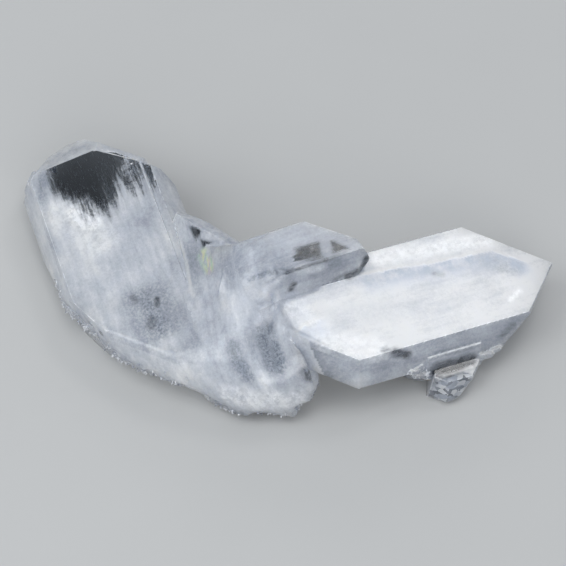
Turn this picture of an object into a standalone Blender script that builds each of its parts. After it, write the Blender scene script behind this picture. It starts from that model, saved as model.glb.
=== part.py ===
"""Faden quartz cluster: flat quartz crystals grown together into one solid.

Metres, +Z up, resting on the plane z = 0. Each crystal is a block cut by its own flat faces. The faces
follow the quartz habit: six prism faces round the long axis and six sloping faces at each end. Distances
below are in millimetres from the centre of the crystal to each face. A sheet of milky growth runs over the
hollows of the middle.
"""
import math
import random

import bmesh
import bpy
from mathutils import Matrix, Vector

MM = 0.001

# Quartz habit. The sloping end faces stand this far from the long axis of the crystal.
END_FACE_ANGLE = math.radians(51.8)
PRISM_STEP = math.radians(60.0)
BLOCK_SIZE = 150.0
WELD = 0.001

# Right tablet, ended at both ends, with a deeper step and a broken corner crystal under its front edge.
RIGHT_CENTRE = (21.8, -11.8, 7.9)
RIGHT_TURN = (26.0, -8.1, 11.1)
RIGHT_PRISM = (4.75, 10.4, 10.4, 4.8, 10.7, 10.7)
RIGHT_HEAD = (19.3, 18.6, 15.4, 16.5, 17.5, 16.5)
RIGHT_TAIL = (19.0, 17.85, 18.0, 19.5, 16.3, 20.0)
RIGHT_UNDERCUT = [((-0.336, 0.370, -0.866), 9.95)]
STEP_OFFSET = (1.5, 0.0, -1.65)
STEP_PRISM = (3.6, 11.45, 11.45, 4.4, 8.0, 8.0)
STEP_HEAD = (14.0, 12.6, 12.7, 12.0, 12.0, 12.0)
STEP_TAIL = (12.6, 11.6, 11.8, 12.0, 12.0, 12.0)
CORNER_OFFSET = (0.5, 11.5, -3.6)
CORNER_PRISM = (3.2, 4.9, 5.0, 4.5, 6.0, 6.0)
CORNER_HEAD = (7.0, 6.2, 4.25, 5.0, 6.0, 6.0)
CORNER_TAIL = (5.0, 4.4, 4.5, 5.0, 6.0, 6.0)
CORNER_BREAK = [((-0.868, -0.496, 0.0), 1.31)]

# Left tablet, the largest face of the cluster, with a worn lower left corner and a knob at its upper left.
LEFT_CENTRE = (-24.0, -4.0, 6.5)
LEFT_TURN = (108.1, 2.8, -14.1)
LEFT_PRISM = (4.9, 8.3, 5.2, 4.2, 13.15, 13.15)
LEFT_HEAD = (19.82, 19.6, 21.5, 23.6, 26.0, 25.7)
LEFT_TAIL = (18.0, 16.0, 16.0, 18.0, 14.8, 14.9)
LEFT_BEVEL = ((0.450, 0.413, 0.790), 15.5)
LEFT_WORN = [LEFT_BEVEL, ((-0.38, -0.92, 0.10), 13.0), ((-0.12, -0.98, -0.15), 13.6)]
SHOULDER_PRISM = (4.6, 9.4, 9.4, 3.9, 6.0, 6.0)
SHOULDER_HEAD = (19.0, 18.8, 17.1, 19.5, 24.0, 24.0)
SHOULDER_TAIL = (14.0, 14.0, 14.0, 14.0, 14.0, 14.0)
SHOULDER_END = [((0.885, 0.466, 0.0), 22.7)]
KNOB_OFFSET = (24.2, -11.4, 0.2)
KNOB_PRISM = (2.2, 2.0, 2.0, 2.0, 2.6, 2.6)
KNOB_HEAD = (4.4, 3.8, 3.8, 4.2, 3.9, 3.8)
KNOB_TAIL = (9.0, 9.0, 9.0, 9.0, 9.0, 9.0)

# Small prism at the upper right of the middle.
UPPER_CENTRE = (3.1, -10.2, 16.9)
UPPER_TURN = (27.5, -4.8, 11.3)
UPPER_PRISM = (4.0, 4.3, 5.0, 4.5, 6.8, 6.8)
UPPER_HEAD = (9.0, 9.8, 8.6, 10.5, 9.5, 6.85)
UPPER_TAIL = (6.9, 7.5, 9.8, 12.0, 11.0, 11.0)
UPPER_TIP = [((0.93, -0.20, 0.32), 9.75)]

# Fan of the middle: three plates that rise one over the other from left to right.
FAN_CENTRE = (-8.1, -16.3, 8.9)
FAN_TURN = (103.6, 19.3, -35.2)
FAN_LOW_PRISM = (1.4, 12.0, 9.0, 5.0, 12.0, 12.0)
FAN_LOW_HEAD = (16.0, 10.6, 10.5, 16.0, 18.0, 18.0)
FAN_LOW_TAIL = (10.0, 12.1, 11.9, 10.0, 12.2, 11.8)
FAN_MIDDLE_PRISM = (3.2, 10.9, 8.7, 4.7, 6.4, 6.0)
FAN_MIDDLE_HEAD = (15.6, 11.4, 11.3, 12.0, 17.5, 17.5)
FAN_MIDDLE_TAIL = (10.2, 12.3, 11.7, 9.5, 11.9, 11.5)
FAN_RIGHT_CENTRE = (1.2, -21.0, 8.8)
FAN_RIGHT_TURN = (106.0, 28.0, -37.0)
FAN_RIGHT_PRISM = (3.6, 3.4, 3.4, 4.0, 7.3, 7.2)
FAN_RIGHT_HEAD = (11.6, 10.4, 12.0, 12.0, 12.0, 12.0)
FAN_RIGHT_TAIL = (7.5, 7.1, 7.0, 7.1, 9.9, 10.0)

# Milky growth that runs over the hollows between the plates: rows of points on its surface in millimetres,
# from the back to the front edge, each from left to right.
MILK_SHEET = [
    [(-16.5, -2.7, 12.8), (-14.0, -3.9, 15.2), (-11.9, -5.5, 17.0),
     (-9.5, -7.3, 19.2), (-7.2, -8.8, 21.4), (-4.7, -8.6, 22.1)],
    [(-16.8, -5.9, 12.6), (-14.0, -7.4, 14.9), (-11.6, -9.2, 16.9),
     (-9.0, -10.9, 19.0), (-5.6, -12.4, 20.7), (-1.8, -12.5, 21.3)],
    [(-16.5, -9.8, 12.2), (-13.4, -10.9, 14.3), (-11.0, -12.4, 16.1),
     (-8.5, -14.2, 17.9), (-5.0, -15.7, 19.7), (-0.3, -14.7, 20.3)],
    [(-16.1, -13.7, 11.9), (-13.2, -14.6, 13.5), (-10.8, -15.7, 14.8),
     (-8.5, -16.9, 16.3), (-5.1, -17.7, 17.7), (-1.7, -17.2, 18.5)],
    [(-15.9, -17.7, 11.5), (-12.8, -18.2, 12.9), (-10.6, -18.9, 13.8),
     (-8.1, -19.9, 15.0), (-4.8, -20.1, 16.0), (-1.0, -18.6, 16.5)],
    [(-16.6, -21.1, 10.9), (-13.3, -21.6, 12.0), (-10.3, -22.3, 12.9),
     (-7.1, -23.3, 14.2), (-3.8, -22.8, 14.8), (-0.2, -22.7, 15.0)],
    [(-18.1, -23.8, 10.0), (-13.7, -24.7, 11.1), (-9.6, -25.2, 11.8),
     (-5.9, -26.0, 12.8), (-1.6, -25.3, 13.5), (2.6, -25.4, 14.7)],
    [(-19.5, -24.1, 7.2), (-13.7, -26.7, 9.2), (-8.6, -27.6, 10.0),
     (-4.3, -28.3, 11.2), (0.0, -27.7, 11.8), (4.3, -27.4, 12.9)],
    [(-19.6, -24.4, 4.9), (-12.8, -28.1, 6.9), (-7.4, -29.1, 7.4),
     (-2.6, -30.0, 9.3), (1.5, -29.3, 9.8), (5.4, -28.5, 9.8)],
    [(-18.6, -24.8, 4.0), (-11.8, -28.6, 4.8), (-6.1, -30.5, 5.2),
     (-0.8, -30.8, 6.6), (2.6, -29.8, 7.0), (5.5, -28.9, 6.6)],
    [(-16.9, -24.9, 2.8), (-10.2, -28.3, 2.6), (-5.0, -30.6, 2.5),
     (1.2, -30.9, 2.6), (3.2, -30.0, 3.4), (4.7, -29.3, 4.4)],
]
SHEET_ROUNDS = 1
SHEET_ROOT = (-7.0, -20.0, 3.0)

# Broken lower rims, each set with small crystals that point outward. Points are in millimetres.
LEFT_CORNER_RIM = [(-37.4, -4.0, 4.2), (-37.2, -7.4, 3.6), (-35.3, -10.6, 3.2), (-30.9, -14.4, 3.2)]
LEFT_FRONT_RIM = [(-30.0, -17.0, 3.2), (-23.5, -22.0, 3.6), (-17.0, -25.4, 4.2)]
FAN_FRONT_RIM = [(-12.5, -26.6, 1.4), (-8.4, -28.9, 1.6), (-4.2, -29.7, 1.8), (-1.2, -29.4, 1.6)]
FAN_CORNER_RIM = [(-0.4, -29.2, 1.8), (1.8, -29.3, 2.6), (4.0, -28.8, 4.0), (5.0, -27.3, 5.8)]
RIGHT_START_RIM = [(6.0, -25.6, 6.6), (8.2, -26.2, 7.0)]
RIGHT_FRONT_RIM = [(20.1, -25.2, 6.6), (23.5, -24.3, 4.4)]
RIGHT_END_RIM = [(32.2, -19.9, 3.6), (34.6, -18.7, 4.2)]
RIMS = [
    # rim, turn of the parent crystal, number of small crystals, size range
    (LEFT_CORNER_RIM, LEFT_TURN, 24, (0.5, 0.95)),
    (LEFT_FRONT_RIM, LEFT_TURN, 14, (0.5, 0.9)),
    (FAN_FRONT_RIM, FAN_TURN, 22, (0.5, 1.1)),
    (FAN_CORNER_RIM, FAN_RIGHT_TURN, 16, (0.5, 1.1)),
    (RIGHT_START_RIM, RIGHT_TURN, 6, (0.45, 0.7)),
    (RIGHT_FRONT_RIM, RIGHT_TURN, 6, (0.4, 0.7)),
    (RIGHT_END_RIM, RIGHT_TURN, 4, (0.45, 0.7)),
]
RIM_INSET = 1.0
RIM_TILT = 16.0
RIM_SPREAD = 0.5
RIM_SEED = 7
RIM_PLACE_RANGE = (0.25, 0.75)
RIM_SIDE_RANGE = (0.8, 1.2)
RIM_ROOT_RANGE = (1.0, 1.4)
RIM_TIP_RANGE = (2.0, 2.4)

# Chips broken out of the rims: centre in millimetres, heading of the chip and its half width.
CHIPS = [
    ((2.9, -31.3, 3.6), 60.0, 1.1),
    ((4.9, -30.6, 4.6), 20.0, 0.8),
    ((-32.6, -13.6, 5.6), 75.0, 0.5),
    ((-41.4, 21.0, 6.2), 130.0, 0.8),
]
CHIP_LENGTH = 2.4

# The cluster lies on flat facets cut along the resting plane.
BASE_LEVEL = 0.0
BASE_DEPTH = 20.0
BASE_SIZE = 200.0
BODY_COLOUR = (0.86, 0.89, 0.94, 1.0)
BODY_ROUGHNESS = 0.12


def crystal_axes(turn):
    """Long axis, side axis and face axis from heading, dip and roll in degrees."""
    heading, dip, roll = (math.radians(value) for value in turn)
    long_axis = Vector((math.cos(dip) * math.cos(heading), math.cos(dip) * math.sin(heading), math.sin(dip)))
    upright = Vector((0.0, 0.0, 1.0))
    upright = (upright - upright.dot(long_axis) * long_axis).normalized()
    sideways = long_axis.cross(upright)
    face_axis = (math.cos(roll) * upright + math.sin(roll) * sideways).normalized()
    side_axis = long_axis.cross(face_axis).normalized()
    return long_axis, side_axis, face_axis


def from_crystal(centre, turn, offset):
    """Point in millimetres that lies at an offset along, across and out of a crystal."""
    axes = crystal_axes(turn)
    return Vector(centre) + sum((axis * value for axis, value in zip(axes, offset)), Vector())


def crystal_planes(turn, prism, head, tail, extra):
    """Outward normals and distances in millimetres of all faces of one crystal."""
    long_axis, side_axis, face_axis = crystal_axes(turn)
    across = math.sin(END_FACE_ANGLE)
    along = math.cos(END_FACE_ANGLE)
    planes = []
    for index in range(6):
        angle = index * PRISM_STEP
        side = math.cos(angle) * face_axis + math.sin(angle) * side_axis
        planes.append((side, prism[index]))
        planes.append((across * side + along * long_axis, head[index]))
        planes.append((across * side - along * long_axis, tail[index]))
    for (along_part, side_part, face_part), distance in extra:
        normal = along_part * long_axis + side_part * side_axis + face_part * face_axis
        planes.append((normal.normalized(), distance))
    return planes


def cut_block(centre, planes):
    """Bmesh of a cube round the centre, cut back to the given planes."""
    bm = bmesh.new()
    bmesh.ops.create_cube(bm, size=BLOCK_SIZE * MM, matrix=Matrix.Translation(Vector(centre) * MM))
    for normal, distance in planes:
        geometry = bm.verts[:] + bm.edges[:] + bm.faces[:]
        on_plane = (Vector(centre) + normal * distance) * MM
        bmesh.ops.bisect_plane(
            bm, geom=geometry, dist=WELD * MM, plane_co=on_plane, plane_no=normal, clear_outer=True)
        open_edges = [edge for edge in bm.edges if edge.is_boundary]
        if open_edges:
            bmesh.ops.holes_fill(bm, edges=open_edges, sides=0)
    bmesh.ops.remove_doubles(bm, verts=bm.verts[:], dist=WELD * MM)
    bmesh.ops.recalc_face_normals(bm, faces=bm.faces[:])
    bmesh.ops.triangulate(bm, faces=bm.faces[:])
    return bm


def mesh_object(name, bm, collection):
    """Object made from a bmesh, linked to a collection."""
    mesh = bpy.data.meshes.new(name)
    bm.to_mesh(mesh)
    bm.free()
    item = bpy.data.objects.new(name, mesh)
    collection.objects.link(item)
    return item


def crystal(name, centre, turn, prism, head, tail, collection, extra=()):
    """Object of one crystal."""
    return mesh_object(name, cut_block(centre, crystal_planes(turn, prism, head, tail, extra)), collection)


def combine(target, tool, operation):
    """Apply one exact Boolean to the target's mesh."""
    modifier = target.modifiers.new("combine", "BOOLEAN")
    modifier.solver = "EXACT"
    modifier.operation = operation
    modifier.object = tool
    bpy.context.view_layer.update()
    evaluated = target.evaluated_get(bpy.context.evaluated_depsgraph_get())
    mesh = bpy.data.meshes.new_from_object(evaluated)
    target.modifiers.remove(modifier)
    old = target.data
    target.data = mesh
    bpy.data.meshes.remove(old)


def along(points, share):
    """Point at a share of the length of an open line."""
    vectors = [Vector(point) for point in points]
    lengths = [(end - start).length for start, end in zip(vectors, vectors[1:])]
    left = share * sum(lengths)
    for start, end, length in zip(vectors, vectors[1:], lengths):
        if left <= length:
            return start.lerp(end, left / length)
        left -= length
    return vectors[-1]


def rim_crystals():
    """Centre, turn and face distances of the small crystals along the broken rims."""
    chance = random.Random(RIM_SEED)
    small = []
    for points, turn, count, sizes in RIMS:
        for index in range(count):
            share = (index + chance.uniform(*RIM_PLACE_RANGE)) / count
            leaned = tuple(angle + chance.uniform(-RIM_TILT, RIM_TILT) for angle in turn)
            size = chance.uniform(*sizes)
            long_axis, side_axis, face_axis = crystal_axes(leaned)
            lift = chance.uniform(-RIM_SPREAD, RIM_SPREAD)
            centre = along(points, share) + long_axis * RIM_INSET + face_axis * lift
            prism = tuple(size * chance.uniform(*RIM_SIDE_RANGE) for _ in range(6))
            tail = tuple(size * chance.uniform(*RIM_ROOT_RANGE) for _ in range(6))
            head = tuple(size * chance.uniform(*RIM_TIP_RANGE) for _ in range(6))
            small.append((centre, leaned, prism, head, tail))
    return small


def finer_line(points):
    """The points of a smooth line with one more between each two."""
    finer = []
    last = len(points) - 1
    for index in range(last):
        near = points[index] + points[index + 1]
        far = points[max(index - 1, 0)] + points[min(index + 2, last)]
        finer += [points[index], near * 0.5625 - far * 0.0625]
    return finer + [points[last]]


def sheet(rows, collection):
    """Object of a milky mass: a smooth sheet through rows of points, closed down to one point inside."""
    rows = [[Vector(point) for point in row] for row in rows]
    for _ in range(SHEET_ROUNDS):
        rows = [finer_line(row) for row in rows]
        rows = [list(row) for row in zip(*[finer_line(list(column)) for column in zip(*rows)])]
    bm = bmesh.new()
    grid = [[bm.verts.new(point * MM) for point in row] for row in rows]
    root = bm.verts.new(Vector(SHEET_ROOT) * MM)
    for row, below in zip(grid, grid[1:]):
        for column in range(len(row) - 1):
            bm.faces.new((row[column], row[column + 1], below[column + 1], below[column]))
    border = grid[0] + [row[-1] for row in grid[1:]]
    border += grid[-1][-2::-1] + [row[0] for row in grid[-2:0:-1]]
    for corner, following in zip(border, border[1:] + border[:1]):
        bm.faces.new((following, corner, root))
    bmesh.ops.triangulate(bm, faces=bm.faces[:])
    bmesh.ops.recalc_face_normals(bm, faces=bm.faces[:])
    return mesh_object("sheet", bm, collection)


def rest_on_origin(body):
    """Cut the resting facets and move the body so that it stands centred on the origin."""
    block = bmesh.new()
    centre = Vector((0.0, 0.0, BASE_LEVEL - BASE_DEPTH / 2))
    bmesh.ops.create_cube(block, size=1.0, matrix=Matrix.Translation(centre * MM)
                          @ Matrix.Diagonal((BASE_SIZE * MM, BASE_SIZE * MM, BASE_DEPTH * MM, 1.0)))
    cutter = mesh_object("base_cut", block, bpy.data.collections["cutters"])
    combine(body, cutter, "DIFFERENCE")
    bpy.data.objects.remove(cutter, do_unlink=True)
    low = Vector([min(vertex.co[axis] for vertex in body.data.vertices) for axis in range(3)])
    high = Vector([max(vertex.co[axis] for vertex in body.data.vertices) for axis in range(3)])
    middle = (low + high) / 2
    body.data.transform(Matrix.Translation((-middle.x, -middle.y, -low.z)))


def main():
    for item in list(bpy.data.objects):
        bpy.data.objects.remove(item, do_unlink=True)
    parts = bpy.data.collections.new("faden_quartz_cluster")
    cutters = bpy.data.collections.new("cutters")
    bpy.context.scene.collection.children.link(parts)
    bpy.context.scene.collection.children.link(cutters)

    body = crystal("faden_quartz_cluster", LEFT_CENTRE, LEFT_TURN, LEFT_PRISM, LEFT_HEAD, LEFT_TAIL, parts,
                   LEFT_WORN)
    step_centre = from_crystal(RIGHT_CENTRE, RIGHT_TURN, STEP_OFFSET)
    corner_centre = from_crystal(RIGHT_CENTRE, RIGHT_TURN, CORNER_OFFSET)
    knob_centre = from_crystal(LEFT_CENTRE, LEFT_TURN, KNOB_OFFSET)
    grown = [
        ("shoulder", LEFT_CENTRE, LEFT_TURN, SHOULDER_PRISM, SHOULDER_HEAD, SHOULDER_TAIL, SHOULDER_END),
        ("knob", knob_centre, LEFT_TURN, KNOB_PRISM, KNOB_HEAD, KNOB_TAIL, ()),
        ("fan_low", FAN_CENTRE, FAN_TURN, FAN_LOW_PRISM, FAN_LOW_HEAD, FAN_LOW_TAIL, ()),
        ("fan_middle", FAN_CENTRE, FAN_TURN, FAN_MIDDLE_PRISM, FAN_MIDDLE_HEAD, FAN_MIDDLE_TAIL, ()),
        ("fan_right", FAN_RIGHT_CENTRE, FAN_RIGHT_TURN, FAN_RIGHT_PRISM, FAN_RIGHT_HEAD, FAN_RIGHT_TAIL, ()),
        ("right_tablet", RIGHT_CENTRE, RIGHT_TURN, RIGHT_PRISM, RIGHT_HEAD, RIGHT_TAIL, RIGHT_UNDERCUT),
        ("step", step_centre, RIGHT_TURN, STEP_PRISM, STEP_HEAD, STEP_TAIL, ()),
        ("corner", corner_centre, RIGHT_TURN, CORNER_PRISM, CORNER_HEAD, CORNER_TAIL, CORNER_BREAK),
        ("upper_prism", UPPER_CENTRE, UPPER_TURN, UPPER_PRISM, UPPER_HEAD, UPPER_TAIL, UPPER_TIP),
    ]
    for centre, turn, prism, head, tail in rim_crystals():
        grown.append(("rim_crystal", centre, turn, prism, head, tail, ()))
    for name, centre, turn, prism, head, tail, extra in grown:
        tool = crystal(name, centre, turn, prism, head, tail, cutters, extra)
        combine(body, tool, "UNION")
        bpy.data.objects.remove(tool, do_unlink=True)
    tool = sheet(MILK_SHEET, cutters)
    combine(body, tool, "UNION")
    bpy.data.objects.remove(tool, do_unlink=True)
    for centre, heading, half_width in CHIPS:
        distances = (half_width,) * 6
        ends = (half_width * CHIP_LENGTH,) * 6
        tool = crystal("chip", centre, (heading, 0.0, 0.0), distances, ends, ends, cutters)
        combine(body, tool, "DIFFERENCE")
        bpy.data.objects.remove(tool, do_unlink=True)
    rest_on_origin(body)

    material = bpy.data.materials.new("quartz")
    material.use_nodes = True
    shader = material.node_tree.nodes["Principled BSDF"]
    shader.inputs["Base Color"].default_value = BODY_COLOUR
    shader.inputs["Roughness"].default_value = BODY_ROUGHNESS
    shader.inputs["Metallic"].default_value = 0.0
    body.data.materials.clear()
    body.data.materials.append(material)


main()
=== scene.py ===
"""Faden quartz cluster: the looks of the crystals, their inside, and a plain studio round them.

Lengths on the crystals are written in millimetres in the object's own frame, and turned into metres where a
mesh is made. A place on a crystal is given along its long axis and across it, measured on its top face.
"""
import math

import bmesh
import bpy
import numpy as np
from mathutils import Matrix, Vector
from mathutils.bvhtree import BVHTree


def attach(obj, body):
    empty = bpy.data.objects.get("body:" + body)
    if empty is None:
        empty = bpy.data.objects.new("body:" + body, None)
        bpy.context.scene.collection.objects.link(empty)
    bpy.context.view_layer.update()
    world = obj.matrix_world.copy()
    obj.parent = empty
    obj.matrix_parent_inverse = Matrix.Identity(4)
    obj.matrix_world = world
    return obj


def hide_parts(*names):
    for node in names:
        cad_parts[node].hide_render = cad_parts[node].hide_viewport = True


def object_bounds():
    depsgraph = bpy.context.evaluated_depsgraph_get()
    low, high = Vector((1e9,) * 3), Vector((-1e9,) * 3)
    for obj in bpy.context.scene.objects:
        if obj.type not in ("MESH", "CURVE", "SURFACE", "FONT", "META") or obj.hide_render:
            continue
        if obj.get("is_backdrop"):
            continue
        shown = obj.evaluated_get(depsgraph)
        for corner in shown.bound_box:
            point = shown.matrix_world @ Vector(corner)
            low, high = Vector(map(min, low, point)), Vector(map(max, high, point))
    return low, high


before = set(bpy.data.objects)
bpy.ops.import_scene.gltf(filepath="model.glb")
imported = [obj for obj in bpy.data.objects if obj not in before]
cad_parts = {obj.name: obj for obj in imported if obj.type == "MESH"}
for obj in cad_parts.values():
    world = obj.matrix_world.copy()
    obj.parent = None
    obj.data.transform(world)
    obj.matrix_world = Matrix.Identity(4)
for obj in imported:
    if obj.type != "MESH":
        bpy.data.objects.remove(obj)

bl_info = {
    "name": "Faden quartz cluster",
    "version": (1, 0, 0),
    "blender": (4, 5, 0),
    "location": "3D View > Sidebar > Quartz",
    "description": "Makes the finish of a faden quartz cluster and a studio for it",
    "category": "Object",
}

MM = 0.001
UP = Vector((0.0, 0.0, 1.0))
NODE = "faden_quartz_cluster"
BODY = "root"
CAD_LOW, CAD_HIGH = (list(corner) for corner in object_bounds())

# Crystals: middle; heading, dip and roll of the long axis in degrees; height of the top face over the middle;
# half length, half width and half height that the crystal fills; milkiness.
CRYSTALS = {
    "left": ((-24.23, -2.99, 6.5), (108.1, 2.8, -14.1), 4.9, (27.0, 14.0, 6.5), 0.67),
    # Its milk is set high so that its white also paints part of the glare of its top face: painted sheen.
    "right": ((21.57, -10.79, 7.9), (26.0, -8.1, 11.1), 4.75, (25.0, 15.0, 7.0), 0.94),
    "upper": ((2.87, -9.19, 16.9), (27.5, -4.8, 11.3), 4.0, (13.0, 8.0, 4.6), 0.42),
    "fan": ((-8.33, -15.29, 8.9), (103.6, 19.3, -35.2), 3.2, (19.0, 9.0, 8.0), 0.50),
    "fan_right": ((0.97, -19.99, 8.8), (106.0, 28.0, -37.0), 5.0, (12.0, 6.5, 8.0), 0.52),
}

# Light bends where it enters the quartz, so a clear zone runs down through its crystal at a slant: drift
# along and across for each millimetre of depth.
ZONE_DRIFT = {
    "left": (0.40, 0.0),
    "right": (0.27, -0.30),
    "upper": (0.25, -0.29),
    "fan": (0.23, -0.28),
    "fan_right": (0.13, -0.30),
}

# Clear zones: crystal, along, across, half length, half width, most clearness in millimetres past its rim,
# and how far the streaks of the milk comb into it.
CLEAR_ZONES = [
    ("left", 23.0, -2.2, 7.4, 7.4, 2.5, 0.8),
    ("left", 17.6, -1.8, 5.4, 3.6, 2.2, 0.9),
    ("left", 19.6, 4.2, 5.0, 2.6, 0.9, 1.0),
    ("left", 16.6, 9.4, 4.6, 2.6, 1.2, 0.8),
    ("right", -8.7, 11.4, 2.0, 1.0, 0.3, 0.6),
    ("right", -0.4, 14.8, 3.8, 1.3, 2.2, 0.2),
    ("right", 13.0, 13.0, 3.0, 1.4, 0.1, 0.6),
]

# Clear windows with straight sides: crystal, corners along and across, comb.
CLEAR_WINDOWS = [
    ("upper", [(-1.3, -1.1), (3.3, -1.1), (2.0, 1.8), (-2.6, 1.2)], 1.1),
    ("upper", [(5.0, -0.7), (7.5, 2.2), (4.5, 1.7)], 0.8),
    ("fan", [(15.3, -1.8), (18.3, -2.8), (16.9, -0.2)], 0.7),
    ("fan", [(13.3, -0.8), (15.2, -1.1), (13.9, 0.9)], 0.2),
]

# Clearness and comb where there is no zone; depth in millimetres to which a zone runs down; how square to
# its crystal a face has to be to show it; depth from which steep faces show it too, and how far those look
# upward; rise of the clearness from a window's edge, and its limit.
NO_ZONE = -4.0
NO_ZONE_COMB = 0.5
ZONE_DEPTH = 14.0
ZONE_FACING = 0.93
STEEP_FROM = 2.5
STEEP_FACING = 0.15
WINDOW_EDGE = 3.0
WINDOW_LIMIT = 2.2

# Lighter and darker clouds in the milk, with painted highlights and painted shade among them: crystal, or
# none for a place on the object; points along and across, or places on the object; half width; strength.
CLOUD_AND_LIGHT_MARKS = [
    # Partly dense white milk and partly a painted highlight.
    ("left", [(14.6, -6.4), (11.4, -4.8)], 1.9, 1.0),
    ("left", [(15.5, -9.0), (12.0, -6.5), (7.5, -4.5)], 4.4, 0.45),
    ("left", [(24.4, -10.2), (19.8, -11.4), (11.7, -13.0), (4.0, -13.6)], 1.1, -0.45),
    ("left", [(-8.0, 1.4), (-14.5, 1.6)], 3.2, -0.45),
    ("left", [(-7.0, -2.4), (-11.5, -2.4), (-15.5, -2.0)], 2.9, -0.42),
    ("left", [(-16.0, -8.0), (-22.0, -3.0), (-21.0, 4.0)], 3.0, -0.25),
    ("left", [(4.0, 10.5), (-8.0, 9.0)], 1.8, -0.25),
    ("left", [(5.0, -8.0), (-2.0, -6.0)], 5.0, 0.12),
    # Painted highlight on the bevel of the left crystal's far edge, this mark and the next.
    (None, [(-38.0, 20.0, 11.0), (-36.0, 22.0, 10.6)], 1.5, 0.35),
    (None, [(-31.4, 21.2, 12.3), (-30.0, 20.1, 12.8)], 0.9, 0.6),
    (None, [(-16.3, -3.0, 14.4), (-15.6, -7.0, 14.0), (-14.7, -12.0, 13.6)], 1.3, -0.35),
    (None, [(-8.9, -16.1, 16.1), (-8.5, -18.8, 14.9), (-7.5, -22.5, 14.0), (-6.2, -25.4, 12.5)], 0.9, 0.16),
    (None, [(-6.2, -25.4, 12.5), (-4.3, -27.6, 10.8), (-2.7, -29.1, 9.0), (-1.4, -29.6, 7.4)], 1.0, 0.32),
    (None, [(-3.2, -22.1, 14.7), (-2.2, -24.4, 13.4), (-1.1, -26.7, 11.8)], 2.1, -0.82),
    (None, [(-8.2, -23.8, 12.8), (-7.3, -25.9, 11.3), (-6.0, -27.3, 10.4)], 1.9, -0.66),
    (None, [(-9.3, -28.4, 6.1), (-4.4, -29.0, 6.0), (1.6, -29.1, 6.0)], 2.4, 0.6),
    # Painted shade below a ridge of the upper prism.
    (None, [(-5.7, -14.5, 19.5), (-3.7, -14.1, 20.1), (-1.6, -13.9, 20.8), (0.1, -13.9, 20.8)], 0.6, -0.6),
    ("right", [(-22.0, -3.0), (-19.5, 4.5), (-12.0, 8.0)], 2.6, 0.45),
    # Painted highlight: the bright strip behind the first inner edge of the right tablet.
    ("right", [(-4.0, -8.0), (8.0, -7.0), (16.0, -6.0)], 1.6, 0.6),
    # Painted shade: the dark in front of that inner edge at the tablet's far end.
    ("right", [(14.5, -2.2), (18.5, 0.4)], 2.2, -0.45),
    ("right", [(-15.5, 0.4), (-3.0, 2.5)], 2.2, -0.2),
    # Painted glint on the right tablet's top face.
    ("right", [(14.7, 6.2), (17.3, 4.9)], 0.5, 0.8),
    (None, [(24.6, -21.6, 8.0), (27.4, -20.2, 7.6), (31.2, -18.6, 6.9)], 0.8, -0.4),
    (None, [(7.9, -10.8, 19.3), (8.9, -10.3, 19.0)], 1.0, -0.4),
    (None, [(2.2, -13.4, 20.5), (6.0, -12.0, 19.0)], 0.9, 0.35),
    (None, [(5.0, -14.4, 16.6), (9.0, -12.6, 16.2)], 1.0, -0.25),
]

# Dark spots and lines, where clear quartz is painted dark for the shade seen through it, given like the
# clouds.
DARK_MARKS = [
    ("left", [(-9.0, 1.2), (-10.2, 0.8)], 0.6, 0.7),
    ("left", [(-6.8, -2.6), (-7.6, -2.4)], 0.7, 0.45),
    ("left", [(-12.6, -0.9), (-13.6, -1.4)], 1.0, 0.5),
    (None, [(-30.9, -15.4, 6.4)], 0.6, 0.8),
    # Painted shade along the front top edge of the upper prism, this mark and the next.
    ("upper", [(-4.9, 2.45), (2.6, 2.5)], 0.34, 0.85),
    ("upper", [(2.6, 2.5), (6.3, 2.4)], 0.34, 0.45),
    (None, [(10.6, -10.6, 15.6), (12.3, -9.6, 15.7), (13.3, -8.8, 16.3), (13.8, -8.1, 17.4)], 0.75, 0.9),
    (None, [(8.4, -12.0, 16.0), (10.4, -10.8, 16.4)], 0.5, 0.5),
    (None, [(1.1, -15.1, 17.8), (1.6, -14.7, 18.2)], 0.7, 0.85),
    (None, [(3.4, -27.3, 11.0), (4.3, -27.6, 9.8)], 1.1, 0.75),
    (None, [(18.3, -23.7, 11.5), (20.5, -23.1, 10.1)], 1.0, 0.85),
    (None, [(16.2, -23.9, 12.2), (17.0, -23.6, 12.4)], 0.6, 0.6),
    (None, [(25.7, -22.4, 5.3), (28.6, -21.2, 4.8), (31.2, -19.8, 4.4)], 1.6, 1.0),
    ("right", [(4.2, -2.4), (5.6, -1.8)], 0.6, 0.3),
    (None, [(36.8, -15.5, 6.3), (38.6, -14.4, 7.0)], 0.8, 0.5),
]

# Thin bright lines, all painted glints: along edges and cracks, on the corner crystal's narrow top face, and
# beside the second inner edge; given like the clouds.
GLINT_MARKS = [
    (None, [(-17.7, -1.8, 14.0), (-16.8, -4.5, 13.1), (-16.1, -8.4, 12.8), (-15.3, -12.6, 12.5)], 0.34, 0.9),
    (None, [(25.2, -23.5, 4.8), (26.9, -23.1, 4.9), (28.9, -22.2, 4.6), (31.2, -21.1, 4.2),
            (33.0, -19.6, 3.6)], 0.36, 1.0),
    ("right", [(-17.7, -0.4), (-19.6, 0.2), (-21.4, 0.4)], 0.34, 0.8),
    (None, [(12.3, -8.8, 17.6), (12.6, -9.4, 16.2)], 0.26, 0.6),
    ("upper", [(1.7, -1.0), (0.4, 1.3)], 0.26, 0.45),
    ("upper", [(2.3, -0.9), (1.2, 1.2)], 0.22, 0.35),
]

# Edges that get no painted highlight, given like the clouds.
DULL_MARKS = [
    (None, [(23.9, -21.9, 8.1), (28.6, -19.7, 7.4), (33.1, -17.5, 6.7)], 1.0, 0.9),
]

# Flake in the milk that shows the colours of a thin film, given like the clouds.
FILM_MARKS = [
    (None, [(-13.8, -5.6, 15.6), (-12.7, -8.8, 15.9)], 1.3, 1.0),
]

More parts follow.
